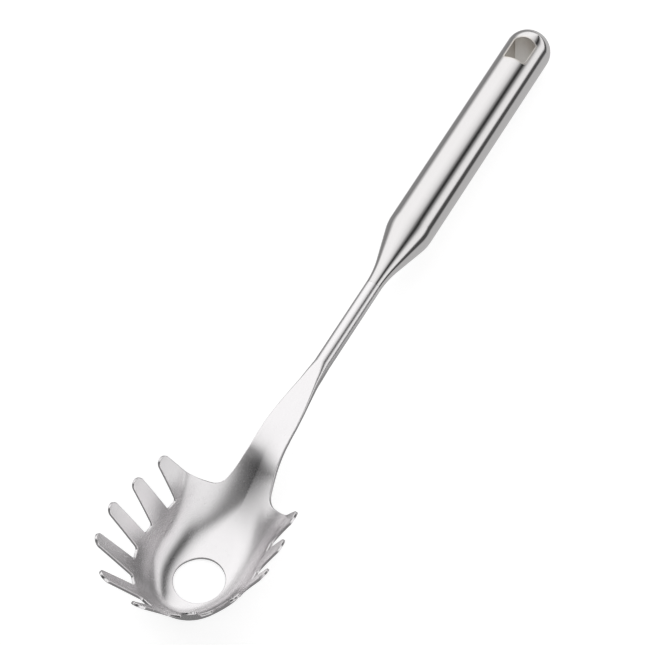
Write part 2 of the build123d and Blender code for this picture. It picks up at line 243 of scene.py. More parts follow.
class Tine:
    """Where a tine stands, on the +x side, as in the CAD model.

    Its foot lies number x pitch along the foot line, measured PITCH_OFFSET outside it: on
    the front arc, then on the side arc, then on the straight side. Its fall line runs out
    from the foot square to the foot line, up to the plane of the tips.
    """

    def __init__(self, number):
        length = number * TINE_PITCH
        front_length = (FRONT_ARC + PITCH_OFFSET) * FRONT_TURN
        side_length = (SIDE_ARC + PITCH_OFFSET) * SIDE_TURN
        centre, self.foot_radius = np.array([0, FRONT_ARC_Y]), FRONT_ARC
        turn = length / (FRONT_ARC + PITCH_OFFSET)
        if length > front_length:
            centre, self.foot_radius = np.array([-SIDE_ARC_X, SIDE_ARC_Y]), SIDE_ARC
            turn = FRONT_TURN + (length - front_length) / (SIDE_ARC + PITCH_OFFSET)
        self.straight = length > front_length + side_length
        if self.straight:
            turn = FRONT_TURN + SIDE_TURN
        self.outward = np.array([sin(turn), -cos(turn)])
        level = np.array([cos(turn), sin(turn)])
        self.foot = centre + self.outward * self.foot_radius
        if self.straight:
            self.foot = self.foot + level * (length - front_length - side_length)
        self.root_offset = self.offset_on(*SLOT_LINE)
        root, self.tip = self.point_at(self.root_offset), self.point_at(self.offset_on(*TIP_LINE))
        self.length = np.linalg.norm(self.tip - root)
        self.across = np.array([*level, 0])
        self.up = (self.tip - root) / self.length
        self.normal = np.cross(self.across, self.up)

    def offset_on(self, height, slope):
        """Offset where the fall line crosses a plane that rises forwards from the hole.

        The line's height is start + TINE_SLOPE t, the plane's is height + slope (HOLE_Y - y).
        """
        start = SHEET + WALL_RUN * (WALL_SLOPE - TINE_SLOPE)
        rise = height + slope * (HOLE_Y - self.foot[1]) - start
        return rise / (TINE_SLOPE + slope * self.outward[1])

    def point_at(self, offset):
        """Point of the tines' upper face on the fall line."""
        start = SHEET + WALL_RUN * (WALL_SLOPE - TINE_SLOPE)
        return np.array([*(self.foot + self.outward * offset), start + TINE_SLOPE * offset])

    def half_root(self):
        """Half of what the slots leave of the pitch, where they end; arcs narrow the pitch."""
        narrowing = 1
        if not self.straight:
            narrowing = (self.foot_radius + self.root_offset) / (self.foot_radius + PITCH_OFFSET)
        return (TINE_PITCH * narrowing - SLOT_WIDTH) / 2

    def slot_place(self, across):
        """Height on the tine, from its tip, where the slots end at a distance across it."""
        place = self.tip + self.across * across - self.up * self.length
        height, slope = SLOT_LINE
        miss = height + slope * (HOLE_Y - place[1]) - place[2]
        return -self.length + miss / (self.up[2] + slope * self.up[1])

    def edge(self, side):
        """Half of the flat outline, from the slot's floor round its corner and up to the tip.

        The flank is the tangent from the root's corner to the tip's circle: it leaves the
        circle at the angle acos(R / d) from the line to the corner, d away.
        """
        corner = np.array([self.half_root(), self.slot_place(side * self.half_root())])
        distance = np.hypot(*corner)
        touch_angle = atan2(corner[1], corner[0]) + np.arccos(TIP_RADIUS / distance)
        touch = TIP_RADIUS * np.array([cos(touch_angle), sin(touch_angle)])
        flank = (touch - corner) / np.linalg.norm(touch - corner)
        floor_end = np.array([self.half_root() + SLOT_WIDTH, 0.0])
        floor_end[1] = self.slot_place(side * floor_end[0])
        floor = (floor_end - corner) / np.linalg.norm(floor_end - corner)
        opening = np.arccos(np.clip(floor @ flank, -1, 1))
        reach = SLOT_CORNER / tan(opening / 2)
        start, end = corner + floor * reach, corner + flank * reach
        middle = (floor + flank) / np.linalg.norm(floor + flank)
        centre = corner + middle * SLOT_CORNER / sin(opening / 2)
        first = atan2(*(start - centre)[::-1])
        sweep = (atan2(*(end - centre)[::-1]) - first + pi) % (2 * pi) - pi
        round_corner = arc_points(centre, SLOT_CORNER, first, first + sweep, CORNER_STEPS)
        straight = line_points(end, touch, FLANK_SPACING)[1:-1]
        tip = arc_points((0, 0), TIP_RADIUS, touch_angle, pi / 2, TIP_STEPS)
        return np.vstack([round_corner, straight, tip]) * (side, 1)

    def on_surface(self, flat):
        """Plan places of flat outline points, sent along the tine's normal to the sheet.

        Each round moves a point by its gap to the surface times the normal's rise.
        """
        points = self.tip + np.outer(flat[:, 0], self.across) + np.outer(flat[:, 1], self.up)
        for _ in range(FALL_ROUNDS):
            gap = points[:, 2] - surface_height(points[:, 0], points[:, 1])
            points = points - np.outer(gap * self.normal[2], self.normal)
        return points[:, :2]


def arc_points(centre, radius, start, end, count):
    """Points of a circle's arc between two angles: centre + radius x (cos t, sin t)."""
    turns = np.linspace(start, end, count)
    return np.array(centre) + radius * np.column_stack([np.cos(turns), np.sin(turns)])


def line_points(start, end, spacing):
    """Evenly spaced points from start to end, both included."""
    start, end = np.array(start), np.array(end)
    count = max(int(np.linalg.norm(end - start) / spacing), 1)
    return start + np.outer(np.linspace(0, 1, count + 1), end - start)


def strap_and_shoulder(heel):
    """Plan line of strap, flare and shoulder: two arcs that end in the heel's rear edge.

    The shoulder's arc ends where the tangent from the heel touches it, acos(R / d) from the
    line between its centre and the heel.
    """
    strap = line_points(
        (STRAP_END_HALF_WIDTH, STRAP_Y), (STRAP_HALF_WIDTH, HOLE_Y + FLARE_START), LINE_SPACING
    )
    flare_centre = strap[-1] + np.array([FLARE_RADIUS, 0])
    flare = arc_points(flare_centre, FLARE_RADIUS, pi, pi + FLARE_ANGLE, FLARE_STEPS)
    side = np.array([cos(FLARE_ANGLE), sin(FLARE_ANGLE)])
    centre = flare[-1] + side * SHOULDER_RADIUS
    to_heel = heel - centre
    touch = atan2(to_heel[1], to_heel[0]) - np.arccos(SHOULDER_RADIUS / np.hypot(*to_heel))
    shoulder = arc_points(
        centre, SHOULDER_RADIUS, pi + FLARE_ANGLE, 2 * pi + touch, SHOULDER_STEPS
    )
    last = line_points(shoulder[-1], heel, LINE_SPACING)
    return np.vstack([strap, flare[1:], shoulder[1:], last[1:]])


def half_outline():
    """The sheet's edge in plan on the +x side, from the front tip round to the strap."""
    pieces = []
    for number in range(SIDE_TINES + 1):
        tine = Tine(number)
        if number:
            pieces.append(tine.on_surface(tine.edge(-1)))
        upward = tine.on_surface(tine.edge(1))
        if number < SIDE_TINES:
            pieces.append(upward[::-1])
        else:
            pieces.append(heel_side(tine, upward))
    return np.vstack(pieces)


def heel_side(tine, upward):
    """The rear edge of the tine beside the strap: the tip's arc, then the plan line."""
    heel = tine.tip[:2] + np.array([0, TIP_RADIUS])
    around = upward[::-1]
    kept = around[around[:, 1] < heel[1] - HEEL_GAP]
    ahead = kept[: int(np.argmax(kept[:, 1])) + 1]
    return np.vstack([ahead, strap_and_shoulder(heel)[::-1]])


def resample(points, spacing):
    """The same line with even spacing, measured along the sheet's upper face."""
    solid = surface_points(points)
    lengths = np.concatenate([[0], np.cumsum(np.linalg.norm(np.diff(solid, axis=0), axis=1))])
    keep = np.concatenate([[True], np.diff(lengths) > SAME])
    count = int(lengths[-1] / spacing)
    places = np.linspace(0, lengths[-1], count + 1)
    return np.column_stack([np.interp(places, lengths[keep], points[keep, i]) for i in (0, 1)])


def rim_frame(outline):
    """Edge points, the sheet's normals, and normal x tangent, which points out of the metal."""
    points = surface_points(outline)
    normals = surface_normals(outline)
    tangents = np.roll(points, -1, axis=0) - np.roll(points, 1, axis=0)
    tangents /= np.linalg.norm(tangents, axis=1)[:, None]
    outward = np.cross(normals, tangents)
    outward /= np.linalg.norm(outward, axis=1)[:, None]
    return points, normals, outward


def mesh_object(name, vertices, normals, faces):
    """A mesh object from millimetre vertices, with the surface's own exact normals.

    Each face is turned so that the cross product of its sides at its first corner agrees
    with the sum of its corners' normals. The piece's place is in its mesh.
    """
    vertices, normals = np.vstack(vertices), np.vstack(normals)
    normals = normals / np.linalg.norm(normals, axis=1)[:, None]
    ends = np.array([(face[0], face[1], face[-1]) for face in faces])
    corner, after, before = vertices[ends.T]
    starts = np.cumsum([0] + [len(face) for face in faces[:-1]])
    outward = np.add.reduceat(normals[np.concatenate(faces)], starts)
    agrees = (np.cross(after - corner, before - corner) * outward).sum(axis=1) > 0
    turned = [face if kept else face[::-1] for face, kept in zip(faces, agrees)]
    mesh = bpy.data.meshes.new(name)
    mesh.from_pydata((vertices * MM).tolist(), [], turned)
    mesh.polygons.foreach_set("use_smooth", [True] * len(mesh.polygons))
    mesh.normals_split_custom_set_from_vertices(normals.tolist())
    mesh.update()
    piece = bpy.data.objects.new(name, mesh)
    bpy.context.scene.collection.objects.link(piece)
    return piece


def inside(points, loop):
    """Which points lie inside a closed loop: a ray to the right crosses it oddly often."""
    result = np.zeros(len(points), dtype=bool)
    for start, end in zip(loop, np.roll(loop, -1, axis=0)):
        spans = (start[1] > points[:, 1]) != (end[1] > points[:, 1])
        if start[1] != end[1]:
            share = (points[:, 1] - start[1]) / (end[1] - start[1])
            result ^= spans & (points[:, 0] < start[0] + (end[0] - start[0]) * share)
    return result


def filled_sheet(loops, spacing):
    """Plan points and triangles inside the first loop and outside the others.

    The points are the loops' own and a lattice of even triangles, kept off the loops, and
    the triangles are Delaunay's.
    """
    low, high = loops[0].min(axis=0), loops[0].max(axis=0)
    rows = np.arange(low[1], high[1], spacing * sqrt(3) / 2)
    lattice = []
    for index, y in enumerate(rows):
        x = np.arange(low[0] + (index % 2) * spacing / 2, high[0], spacing)
        lattice.append(np.column_stack([x, np.full(len(x), y)]))
    lattice = np.vstack(lattice)
    near = np.full(len(lattice), np.inf)
    for loop in loops:
        for start in range(0, len(loop), LOOP_BATCH):
            gaps = lattice[:, None, :] - loop[None, start : start + LOOP_BATCH, :]
            near = np.minimum(near, np.hypot(gaps[..., 0], gaps[..., 1]).min(axis=1))
    lattice = lattice[near > spacing * LATTICE_MARGIN]
    points, edges = [], []
    for loop in loops:
        first = len(points)
        points += [Vector(p) for p in loop]
        edges += [(first + i, first + (i + 1) % len(loop)) for i in range(len(loop))]
    points += [Vector(p) for p in lattice]
    places, _, triangles, _, _, _ = delaunay_2d_cdt(points, edges, [], 0, SAME)
    places = np.array([tuple(p) for p in places])
    middles = places[np.array(triangles)].mean(axis=1)
    kept = inside(middles, loops[0])
    for loop in loops[1:]:
        kept &= ~inside(middles, loop)
    triangles = [triangle for triangle, keep in zip(triangles, kept) if keep]
    used = sorted({i for triangle in triangles for i in triangle})
    renumber = {old: new for new, old in enumerate(used)}
    return places[used], [[renumber[i] for i in triangle] for triangle in triangles]


def join_rows(first_row, second_row, count, closed):
    """Quads between two rows of vertices that start at the given numbers."""
    last = count if closed else count - 1
    return [
        (first_row + i, first_row + (i + 1) % count, second_row + (i + 1) % count, second_row + i)
        for i in range(last)
    ]


def rounded_rim(outline, closed):
    """Rows from the upper face, round the sheet's edge, to the lower face, with normals.

    At an angle t from the upper face a row is outward sin t and down 1 - cos t, times the
    edge's radius. An open line ends square to x, where the strap meets the taper.
    """
    points, normals, outward = rim_frame(outline)
    if not closed:
        for end in (0, -1):
            outward[end] = (np.sign(points[end][0]), 0, 0)
    inner = points - outward * EDGE_ROUND
    inner[:, 2] = surface_height(inner[:, 0], inner[:, 1])
    lower_side = sheet_thickness(inner[:, 1])
    rows, row_normals = [], []
    for angle in np.linspace(0, pi / 2, RIM_STEPS):
        shift = EDGE_ROUND * sin(angle), EDGE_ROUND * (1 - cos(angle))
        rows.append(inner + outward * shift[0] - normals * shift[1])
        row_normals.append(outward * sin(angle) + normals * cos(angle))
    for angle in np.linspace(pi / 2, pi, RIM_STEPS):
        shift = EDGE_ROUND * sin(angle), lower_side - EDGE_ROUND * (1 + cos(angle))
        rows.append(inner + outward * shift[0] - normals * shift[1])
        row_normals.append(outward * sin(angle) + normals * cos(angle))
    return rows, row_normals, inner[:, :2]


def row_faces(first, rows, closed):
    """Quads between all neighbouring rows; the first row's first vertex has the given number."""
    size = len(rows[0])
    faces = []
    for index in range(1, len(rows)):
        start = first + (index - 1) * size
        faces += join_rows(start, start + size, size, closed)
    return faces


def rolled_section(half_width, thickness, corner, centre, per_corner=10, per_flat=6):
    """Points and normals of a rounded rectangle across the neck, in the x-z plane.

    Four quarter circles, each followed by the straight line to the next one's start.
    """
    box = np.array([half_width - corner, thickness / 2 - corner])
    middles = box * [(1, 1), (-1, 1), (-1, -1), (1, -1)]
    share = np.linspace(0, 1, per_flat + 1)[1:-1, None]
    points, normals = [], []
    for index, middle in enumerate(middles):
        turned = arc_points((0, 0), 1, index * pi / 2, (index + 1) * pi / 2, per_corner)
        flat_start, flat_end = np.array([middle, middles[(index + 1) % 4]]) + corner * turned[-1]
        points += [middle + corner * turned, flat_start * (1 - share) + flat_end * share]
        normals += [turned, np.repeat(turned[-1:], per_flat - 1, axis=0)]
    points, normals = np.vstack(points), np.vstack(normals)
    level = np.zeros(len(points))
    ring = np.column_stack([points[:, 0], level + centre[0], points[:, 1] + centre[1]])
    return ring, np.column_stack([normals[:, 0], level, normals[:, 1]])


def neck_rings():
    """Rings from the strap's end up to the mouth of the nose: rolled taper, then the rod."""
    rings = []
    for share in np.linspace(1, 0, TAPER_RINGS):
        half_width, thickness, corner, top = [
            smooth_curve(share, ROLLING[:, 0], ROLLING[:, column]) for column in range(1, 5)
        ]
        y = NECK_END_Y - share * STRAP_TAPER
        rings.append(rolled_section(half_width, thickness, corner, (y, top - thickness / 2)))
    rod = [(along, NECK_RADIUS) for along in np.linspace(0, NECK_LENGTH, ROD_RINGS)[1:]]
    rod.append((NECK_LENGTH + NECK_HIDDEN, NECK_RADIUS - NECK_HIDDEN_STEP))
    for along, radius in rod:
        y = NECK_END_Y + along * cos(REST_TILT)
        z = NECK_AXIS_HEIGHT - along * sin(REST_TILT)
        rings.append(rolled_section(radius, 2 * radius, radius - ROD_FLAT, (y, z)))
    return rings


def smooth_curve(place, places, values):
    """Cubic Hermite curve through the values, with slopes taken across each neighbour pair."""
    slopes = np.gradient(values, places)
    index = min(max(int(np.searchsorted(places, place)) - 1, 0), len(places) - 2)
    length = places[index + 1] - places[index]
    t = (place - places[index]) / length
    return (
        (2 * t**3 - 3 * t**2 + 1) * values[index]
        + (t**3 - 2 * t**2 + t) * length * slopes[index]
        + (3 * t**2 - 2 * t**3) * values[index + 1]
        + (t**3 - t**2) * length * slopes[index + 1]
    )


def make_server_head():
    """Bowl, tines, strap, rolled taper and neck rod as one closed-looking skin.

    Upper and lower face are one plan of triangles, lifted to the surface and set a sheet's
    thickness below it. Rows of quads go round the outer edge, the hole and the neck.
    """
    half = resample(half_outline(), RIM_SPACING)
    outline = np.vstack([half[::-1], -half[1:] * (1, -1)])
    rim, rim_normals, inner = rounded_rim(outline, closed=False)
    turns = np.linspace(0, 2 * pi, ROUND_STEPS, endpoint=False)
    hole = np.column_stack([HOLE_RADIUS * np.cos(turns), HOLE_Y + HOLE_RADIUS * np.sin(turns)])
    hole_rim, hole_normals, hole_inner = rounded_rim(hole, closed=True)
    strap_end = line_points(inner[-1], inner[0], SHEET_SPACING)[1:-1]
    plan, triangles = filled_sheet([np.vstack([inner, strap_end]), hole_inner], SHEET_SPACING)
    upper, normals = surface_points(plan), surface_normals(plan)
    count = len(plan)
    vertices = [upper, upper - normals * sheet_thickness(plan[:, 1])]
    all_normals = [normals, -normals]
    faces = [tuple(t) for t in triangles] + [tuple(count + i for i in t) for t in triangles]
    neck, neck_normals = zip(*neck_rings())
    first = 2 * count
    for rows, row_normals, closed in (
        (rim, rim_normals, False),
        (hole_rim, hole_normals, True),
        (neck, neck_normals, True),
    ):
        vertices += rows
        all_normals += row_normals
        faces += row_faces(first, rows, closed)
        first += len(rows) * len(rows[0])
    return mesh_object("server_head_skin", vertices, all_normals, faces)


def handle_point(x, across, along):
    """A point from the handle's own directions: sideways, up across it, and to the bowl."""
    y = DOME_Y - along * cos(REST_TILT) + across * sin(REST_TILT)
    z = HANDLE_RADIUS + along * sin(REST_TILT) + across * cos(REST_TILT)
    return np.column_stack([x, y, z])


def handle_direction(x, across, along):
    """A direction from the handle's own directions."""
    return handle_point(x, across, along) - handle_point(0 * x, 0 * across, 0 * along)


def lathe(name, profile, turns=ROUND_STEPS):
    """A turned skin from (along, radius, slope) rows: (radius sin t, radius cos t, along).

    The slope is the radius's rise along, so the normal leans back by its angle. A first row
    that is all but a point is closed with one face.
    """
    angles = np.linspace(0, 2 * pi, turns, endpoint=False)
    side, up, ones = np.sin(angles), np.cos(angles), np.ones(turns)
    vertices, normals = [], []
    for along, radius, slope in profile:
        tilt = atan(slope)
        vertices.append(handle_point(radius * side, radius * up, along * ones))
        normals.append(handle_direction(side * cos(tilt), up * cos(tilt), -sin(tilt) * ones))
    faces = row_faces(0, vertices, True)
    if profile[0][1] < POLE_RADIUS:
        faces.append(tuple(range(turns)))
    return mesh_object(name, vertices, normals, faces)


def make_handle_nose():
    """Round shoulder, cone and concave blend, from the tube's end to the neck.

    Shoulder and blend are arcs, whose radius changes by R (1 - cos t) and place by R sin t.
    """
    profile = []
    for turn in np.linspace(0, NOSE_HALF_ANGLE, NOSE_ROWS[0]):
        drop = NOSE_SHOULDER * (1 - cos(turn))
        profile.append((TUBE_END + NOSE_SHOULDER * sin(turn), HANDLE_RADIUS - drop, -tan(turn)))
    blend_start = NECK_START - NOSE_BLEND * sin(NOSE_HALF_ANGLE)
    last = profile[-1]
    for share in np.linspace(0, 1, NOSE_ROWS[1])[1:-1]:
        along = last[0] + (blend_start - last[0]) * share
        profile.append((along, last[1] - (along - last[0]) * tan(NOSE_HALF_ANGLE), last[2]))
    for turn in np.linspace(NOSE_HALF_ANGLE, 0, NOSE_ROWS[2]):
        rise = NOSE_BLEND * (1 - cos(turn))
        profile.append((NECK_START - NOSE_BLEND * sin(turn), NECK_RADIUS + rise, -tan(turn)))
    return lathe("handle_nose_skin", profile)


def make_handle_tube():
    """The straight round grip."""
    stations = np.linspace(CAP_LENGTH, TUBE_END, TUBE_ROWS)
    return lathe("handle_tube_skin", [(along, HANDLE_RADIUS, 0.0) for along in stations])


def eye_outline(grown):
    """The eye's outline grown outwards, with its outward normals, in (x, along) places.

    Five arcs, centre + (radius + grown) x (cos t, sin t), with straight lines between them: a
    low arch of radius (h^2 + r^2) / 2r for a half width h and a rise r, its sharp ends with
    a radius of 0, and the two round corners of the flat end.
    """
    half, flat_end, corner = EYE_HALF_WIDTH, EYE_FLAT_END, EYE_CORNER
    arch = (half**2 + EYE_ARCH_RISE**2) / (2 * EYE_ARCH_RISE)
    lean = asin(half / arch)
    arch_middle = (0, EYE_ARCH_START - EYE_ARCH_RISE + arch)
    arcs = [
        (arch_middle, arch, -pi / 2 - lean, -pi / 2 + lean, ARCH_STEPS),
        ((half, EYE_ARCH_START), 0, -pi / 2 + lean, 0, CORNER_STEPS),
        ((half - corner, flat_end - corner), corner, 0, pi / 2, EYE_CORNER_STEPS),
        ((corner - half, flat_end - corner), corner, pi / 2, pi, EYE_CORNER_STEPS),
        ((-half, EYE_ARCH_START), 0, pi, 3 * pi / 2 - lean, CORNER_STEPS),
    ]
    bends = [arc_points(*arc) for arc in arcs]
    points, normals = [], []
    for index, (_, _, first, last, count) in enumerate(arcs):
        bend, next_start = bends[index], bends[(index + 1) % len(arcs)][0]
        turned = arc_points((0, 0), 1, first, last, count)
        side = line_points(bend[-1], next_start, LINE_SPACING)[:-1]
        if np.linalg.norm(next_start - bend[-1]) < SAME:
            side = side[:0]
        points += [bend[:-1], side]
        normals += [turned[:-1], np.repeat(turned[-1:], len(side), axis=0)]
    points, normals = np.vstack(points), np.vstack(normals)
    return points + normals * grown, normals


def make_end_cap():
    """The dome, and the straight part with the sleeve's outline cut out above and below.

    The dome is a quarter circle turned round. The straight part is a flat plan, x against
    along, wound on the cylinder: x becomes the angle x / radius.
    """
    quarter = np.linspace(pi / 2 - DOME_END, 0, DOME_ROWS)
    profile = [
        (-HANDLE_RADIUS * sin(turn), HANDLE_RADIUS * cos(turn), tan(turn)) for turn in quarter
    ]
    dome = lathe("end_cap_skin", profile)
    outline, _ = eye_outline(SLEEVE_WALL)
    wound = HANDLE_RADIUS * np.arcsin(outline[:, 0] / HANDLE_RADIUS)
    side = HANDLE_RADIUS * pi / 2
    corners = [(-side, 0), (side, 0), (side, CAP_LENGTH), (-side, CAP_LENGTH), (-side, 0)]
    border = np.vstack([line_points(a, b, CAP_SPACING)[:-1] for a, b in zip(corners, corners[1:])])
    plan, triangles = filled_sheet([border, np.column_stack([wound, outline[:, 1]])], CAP_SPACING)
    turns = plan[:, 0] / HANDLE_RADIUS
    vertices, normals, faces = [], [], []
    for index, sign in enumerate((1, -1)):
        across, x = sign * np.cos(turns), np.sin(turns)
        vertices.append(handle_point(HANDLE_RADIUS * x, HANDLE_RADIUS * across, plan[:, 1]))
        normals.append(handle_direction(x, across, 0 * x))
        start = index * len(plan)
        faces += [tuple(start + i for i in triangle) for triangle in triangles]
    return dome, mesh_object("end_cap_barrel", vertices, normals, faces)


def make_eye_sleeve():
    """The sleeve: a flush land, a rounded rim and the wall through the handle.

    Each row is the eye's outline on the handle's cylinder, at height sqrt(R^2 - x^2).
    """
    points, flat_normals = eye_outline(0.0)
    rows, normals = [], []

    def add_row(offset, drop, lean, sign):
        """One row at an offset outside the opening; lean 0 faces up, pi/2 into the eye."""
        place = points + flat_normals * offset
        height = np.sqrt(HANDLE_RADIUS**2 - place[:, 0] ** 2)
        top = np.column_stack([place[:, 0], height]) / HANDLE_RADIUS
        rows.append(handle_point(place[:, 0], sign * (height - drop), place[:, 1]))
        normal_x = top[:, 0] * cos(lean) - flat_normals[:, 0] * sin(lean)
        normal_up = sign * top[:, 1] * cos(lean)
        normals.append(handle_direction(normal_x, normal_up, -flat_normals[:, 1] * sin(lean)))

    for sign in (1, -1):
        steps = [(SLEEVE_WALL, 0.0, 0.0), (EYE_ROUND, 0.0, 0.0)]
        for angle in np.linspace(0, pi / 2, SLEEVE_RIM_ROWS)[1:]:
            steps.append((EYE_ROUND * (1 - sin(angle)), EYE_ROUND * (1 - cos(angle)), angle))
        for step in steps if sign == 1 else steps[::-1]:
            add_row(*step, sign)
        if sign == 1:
            for share in np.linspace(0, 1, SLEEVE_WALL_ROWS)[1:-1]:
                height = np.sqrt(HANDLE_RADIUS**2 - points[:, 0] ** 2) - EYE_ROUND
                rows.append(handle_point(points[:, 0], height * (1 - 2 * share), points[:, 1]))
                inward = -flat_normals
                normals.append(handle_direction(inward[:, 0], 0 * height, inward[:, 1]))
    size = len(points)
    faces = []
    for index in range(1, len(rows)):
        faces += join_rows(index * size, (index - 1) * size, size, True)
    return mesh_object("eye_sleeve_skin", rows, normals, faces)


def linear(hex_colour):
    """An sRGB colour such as c8c8c6 as linear RGBA: ((c + 0.055) / 1.055)^2.4 past the toe."""
    shares = [int(hex_colour[i : i + 2], 16) / 255 for i in (0, 2, 4)]
    return [s / 12.92 if s <= 0.04045 else ((s + 0.055) / 1.055) ** 2.4 for s in shares] + [1.0]


def add_node(tree, kind, inputs=None, stops=(), **settings):
    """One shader node with its settings, its plain or linked inputs and a ramp's grey stops.

    The settings come first, because a node's data type decides which inputs it has.
    """
    node = tree.nodes.new(kind)
    for name, value in settings.items():
        setattr(node, name, value)
    for name, value in (inputs or {}).items():
        if isinstance(value, bpy.types.NodeSocket):
            tree.links.new(value, node.inputs[name])
        else:
            node.inputs[name].default_value = value
    if stops:
        ramp = node.color_ramp
        ramp.interpolation = "EASE"
        ramp.elements.remove(ramp.elements[-1])
        for index, (place, grey) in enumerate(stops):
            stop = ramp.elements.new(place) if index else ramp.elements[0]
            stop.position, stop.color = place, [grey] * 3 + [1.0]
    return node


# How the strokes and the broad clouds of the polish show, on every steel
CLOUDS_PER_METRE = 60.0       # clouds 17 mm wide
CLOUD_ROUGHNESS = 0.03
STROKE_NOISE = (0.3, 0.7)     # between which most of the noise lies
STROKE_ROUGHNESS = 0.02
STROKE_TINT = 0.97
STROKE_DEPTH = 0.0001


def steel(name, colour, stretch, roughness, relief):
    """Stainless steel with strokes: a stretched noise sets its tint, its gloss and its relief.

    The stretch is in strokes per metre along x, y and z, so a stroke is 1000 / stretch mm.
    """
    material = bpy.data.materials.new(name)
    material.use_nodes = True
    tree = material.node_tree
    shader = tree.nodes["Principled BSDF"]
    place = add_node(tree, "ShaderNodeTexCoord").outputs["Object"]
    stretched = add_node(tree, "ShaderNodeMapping", {"Vector": place, "Scale": stretch})
    strokes = add_node(
        tree,
        "ShaderNodeTexNoise",
        {"Vector": stretched.outputs["Vector"], "Scale": 1.0, "Detail": 4.0},
    ).outputs["Fac"]
    clouds = add_node(
        tree, "ShaderNodeTexNoise", {"Vector": place, "Scale": CLOUDS_PER_METRE, "Detail": 3.0}
    )
    stroke_gloss = add_node(
        tree,
        "ShaderNodeMapRange",
        {
            "Value": strokes,
            "From Min": STROKE_NOISE[0],
            "From Max": STROKE_NOISE[1],
            "To Min": roughness - STROKE_ROUGHNESS,
            "To Max": roughness + STROKE_ROUGHNESS,
        },
    )
    gloss = add_node(
        tree,
        "ShaderNodeMath",
        {0: clouds.outputs["Fac"], 1: CLOUD_ROUGHNESS, 2: stroke_gloss.outputs["Result"]},
        operation="MULTIPLY_ADD",
    )
    darker = [value * STROKE_TINT for value in linear(colour)[:3]] + [1.0]
    tint = add_node(
        tree,
        "ShaderNodeMix",
        {"Factor": strokes, "A": linear(colour), "B": darker},
        data_type="RGBA",
    )
    bump = add_node(
        tree,
        "ShaderNodeBump",
        {"Height": strokes, "Strength": relief, "Distance": STROKE_DEPTH},
    )
    tree.links.new(tint.outputs["Result"], shader.inputs["Base Color"])
    tree.links.new(gloss.outputs["Value"], shader.inputs["Roughness"])
    tree.links.new(bump.outputs["Normal"], shader.inputs["Normal"])
    shader.inputs["Metallic"].default_value = 1.0
    return material


# The photograph's camera: its lens in mm, its place in metres, with y from the drain hole,
# and its axes to the right, up and back
CAMERA_LENS = 206.76
CAMERA_PLACE = (0.43766, -0.59950, 1.20310)
CAMERA_AXES = (
    (0.8809, 0.4720, -0.0467),
    (-0.3607, 0.7320, 0.5781),
    (0.3065, -0.4923, 0.8147),
)

# Greys of the studio's long panels, by the angle round the server's length in degrees: 0 is
# overhead, -90 level on the left and 90 level on the right
PANELS = (
    (-165, 0.45), (-120, 0.40), (-104, 0.30), (-88, 0.50), (-70, 1.10), (-26, 1.12),
    (-12, 1.06), (9, 0.88), (41, 0.95), (54, 1.00), (83, 1.00), (89, 0.30), (94, 0.03),
    (106, 0.60), (165, 0.45),
)
# The dark front wall, past the bowl: its greys from straight ahead along the length (0) to
# square to the length (0.5), and how much of it shows at an angle round the length
FRONT_WALL = (
    (0.0, 0.3), (0.2, 0.12), (0.31, 0.1), (0.35, 0.32), (0.38, 0.6), (0.45, 0.88), (0.5, 1.0),
)
FRONT_SHOWS = ((-180, 0.0), (-125, 0.0), (-85, 1.0), (8, 1.0), (38, 0.0), (180, 0.0))
# The dark stand between two panels: its greys outwards from its middle, as a share of its
# width, and its angle and width in radians, which change with the y of the direction
STAND = ((0.0, 0.02), (0.1, 0.06), (0.244, 0.3), (0.51, 0.85), (0.667, 1.0))
STAND_ANGLE = {"From Min": -0.3, "From Max": 0.0, "To Min": radians(-15), "To Max": radians(36)}
STAND_WIDTH = {"From Min": -0.3, "From Max": 0.1, "To Min": 0.5, "To Max": pi / 4}

# The table that the steel mirrors: its glow by x in mm, beside the handle and the bowl, and
# the y in metres over which one goes over into the other. The glow is low near the server:
# painted shadow in the reflections
PAINTED_SHADOW_BESIDE_HANDLE = ((-35, 0.24), (-12, 0.5), (38, 0.52), (60, 0.04))
PAINTED_SHADOW_BESIDE_BOWL = ((24, 0.2), (64, 1.0))
BOWL_TO_HANDLE = {"From Min": -0.03, "From Max": 0.03}
GLOW_WIDTH = 200              # mm of x that the two ramps span, with x = 0 in the middle
TABLE_HALF = 2                # metres
TABLE_GREY = "b4b4b4"
# The table's grey as the steel sees it, darker than to the camera: painted shade in the
# reflections
TABLE_PAINTED_SHADE_IN_STEEL = "404040"     # its grey in the steel
TABLE_GLOW = 0.78             # for the camera: with the lit grey it comes to white


def add_camera():
    """The photograph's camera: 54.5 degrees up, 32 degrees round from the bowl's end."""
    data = bpy.data.cameras.new("camera")
    data.lens = CAMERA_LENS
    data.clip_start, data.clip_end = 0.1, 10
    camera = bpy.data.objects.new("camera", data)
    x, behind_hole, z = CAMERA_PLACE
    turn = Matrix(CAMERA_AXES).transposed().to_4x4()
    camera.matrix_world = Matrix.Translation((x, HOLE_Y * MM + behind_hole, z)) @ turn
    bpy.context.scene.collection.objects.link(camera)
    bpy.context.scene.camera = camera


def by_angle(stops):
    """Stops in degrees as places on a ramp from -180 to 180 degrees: (angle + 180) / 360."""
    return [((angle + 180) / 360, grey) for angle, grey in stops]


